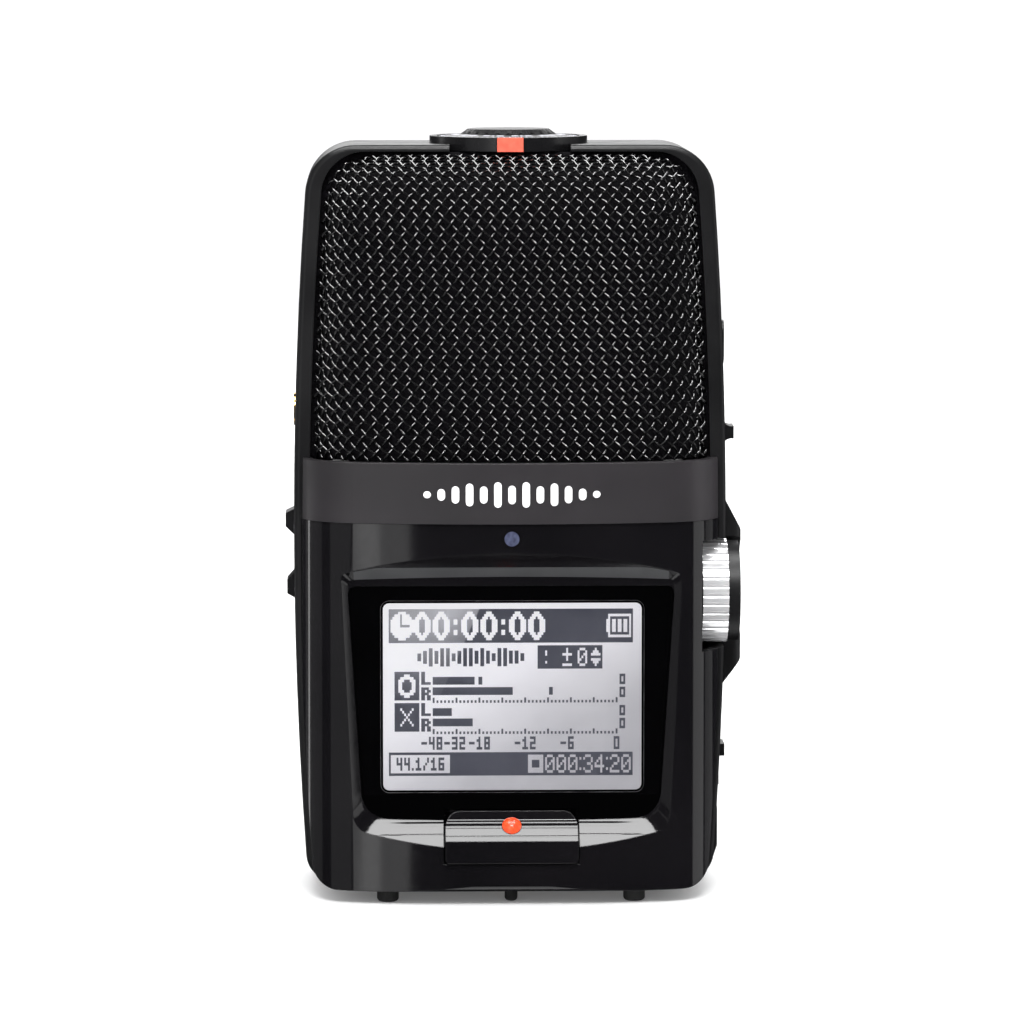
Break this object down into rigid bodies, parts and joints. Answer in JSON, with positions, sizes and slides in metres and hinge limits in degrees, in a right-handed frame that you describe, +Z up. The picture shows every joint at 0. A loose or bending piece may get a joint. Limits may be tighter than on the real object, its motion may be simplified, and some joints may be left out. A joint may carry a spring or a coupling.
{
  "type": "handheld audio recorder",
  "caption": "Upright handheld stereo recorder: domed woven microphone grilles, arch chassis, display window, record button, crown mode dial, side gain wheel, keys, jacks and tripod socket.",
  "frame": {"origin": "on the table, under the middle of the body, at the undersides of the feet", "axes": "+X to the right seen from the front, +Y to the back, +Z up; the display faces -Y"},
  "size_m": [0.0675, 0.0428, 0.1128],
  "materials": {
    "housing_satin": "satin black moulded plastic",
    "shell_gloss": "high gloss black moulded plastic",
    "band_grey": "dark warm grey satin plastic",
    "mesh_black": "woven wire, black lacquer",
    "cloth_black": "black acoustic cloth",
    "window_clear": "clear window printed black around the display",
    "lcd_pale": "pale lavender display cell",
    "backlight_white": "white light guide",
    "holder_black": "black moulded holder",
    "board_green": "green solder mask",
    "lens_red": "clear red lens",
    "lens_grey": "smoked light pipe",
    "index_red": "coral red plastic",
    "chrome": "bright chrome",
    "gold": "gold plated ring",
    "brass": "turned brass insert",
    "steel": "bright steel",
    "screw_black": "black zinc plated steel",
    "rubber": "black rubber",
    "battery_wrap": "printed battery sleeve",
    "capsule": "aluminium capsule can",
    "switch_black": "black switch body",
    "card_black": "black memory card"
  },
  "bodies": {
    "housing": {"chassis": "housing_satin", "front_shell": "shell_gloss", "front_band": "band_grey", "rear_band": "band_grey", "rear_shell": "shell_gloss", "battery_tray": "holder_black", "batteries": "battery_wrap", "battery_contacts": "steel", "battery_springs": "steel", "case_screws": "screw_black", "feet": "rubber", "tripod_bushing": "brass", "front_grille": "mesh_black", "rear_grille": "mesh_black", "front_liner": "cloth_black", "rear_liner": "cloth_black", "display_window": "window_clear", "display_panel": "lcd_pale", "display_backlight": "backlight_white", "display_holder": "holder_black", "front_board": "board_green", "record_switch": "switch_black", "status_light": "lens_grey", "dial_bezel": "shell_gloss", "dial_index": "index_red", "mode_switch": "switch_black", "switch_bridge": "housing_satin", "gain_potentiometer": "switch_black", "volume_pin": "steel", "volume_switches": "switch_black", "side_switches": "switch_black", "card_door_pin": "steel", "memory_card": "card_black", "card_socket": "steel", "line_jack_body": "holder_black", "line_jack_ring": "gold", "phones_jack": "holder_black", "usb_port": "steel", "main_board": "board_green", "mic_middle": "capsule", "mic_side_left": "capsule", "mic_side_right": "capsule", "mic_cross_left": "capsule", "mic_cross_right": "capsule", "mic_cradle": "rubber", "mic_board": "board_green", "speaker": "switch_black"},
    "mode_dial": {"mode_dial": "housing_satin"},
    "gain_dial": {"gain_wheel": "chrome", "gain_cap": "housing_satin"},
    "record_key": {"record_button": "shell_gloss", "record_lens": "lens_red"},
    "volume_key": {"volume_rocker": "housing_satin"},
    "menu_key": {"menu_button": "housing_satin"},
    "play_stem": {"play_stem": "holder_black"},
    "play_lever": {"play_lever": "housing_satin"},
    "power_key": {"power_slider": "housing_satin"},
    "battery_cover": {"battery_door": "shell_gloss"},
    "card_cover": {"card_door": "housing_satin"}
  },
  "joints": [
    {"name": "mode_dial_turn", "type": "hinge", "parent": "housing", "child": "mode_dial", "pos_m": [0, 0, 0.1115], "axis": [0, 0, 1], "range_deg": [-90, 180]},
    {"name": "gain_dial_turn", "type": "hinge", "parent": "housing", "child": "gain_dial", "pos_m": [0.0302, -0.0075, 0.0449], "axis": [1, 0, 0], "range_deg": [-135, 135]},
    {"name": "record_press", "type": "slide", "parent": "housing", "child": "record_key", "axis": [0, 1, 0], "range_m": [0, 0.0005], "stiffness_N_per_m": 600, "springref_m": -0.0003},
    {"name": "volume_rock", "type": "hinge", "parent": "housing", "child": "volume_key", "pos_m": [-0.0282, 0, 0.05], "axis": [0, 1, 0], "range_deg": [-4, 4], "stiffness_Nm_per_rad": 0.02},
    {"name": "menu_press", "type": "slide", "parent": "housing", "child": "menu_key", "axis": [-1, 0, 0], "range_m": [0, 0.0004], "stiffness_N_per_m": 600, "springref_m": -0.0003},
    {"name": "play_press", "type": "slide", "parent": "housing", "child": "play_stem", "axis": [-1, 0, 0], "range_m": [0, 0.0004], "stiffness_N_per_m": 600, "springref_m": -0.0003},
    {"name": "play_tilt", "type": "hinge", "parent": "play_stem", "child": "play_lever", "pos_m": [0.0276, 0, 0.06785], "axis": [0, 1, 0], "range_deg": [-5, 5], "stiffness_Nm_per_rad": 0.02},
    {"name": "power_slide", "type": "slide", "parent": "housing", "child": "power_key", "axis": [0, 0, 1], "range_m": [-0.002, 0.002]},
    {"name": "battery_door_slide", "type": "slide", "parent": "housing", "child": "battery_cover", "axis": [0, 0, -1], "range_m": [0, 0.005]},
    {"name": "card_door_swing", "type": "hinge", "parent": "housing", "child": "card_cover", "pos_m": [0.029, 0, 0.0053], "axis": [0, 1, 0], "range_deg": [0, 90]}
  ]
}
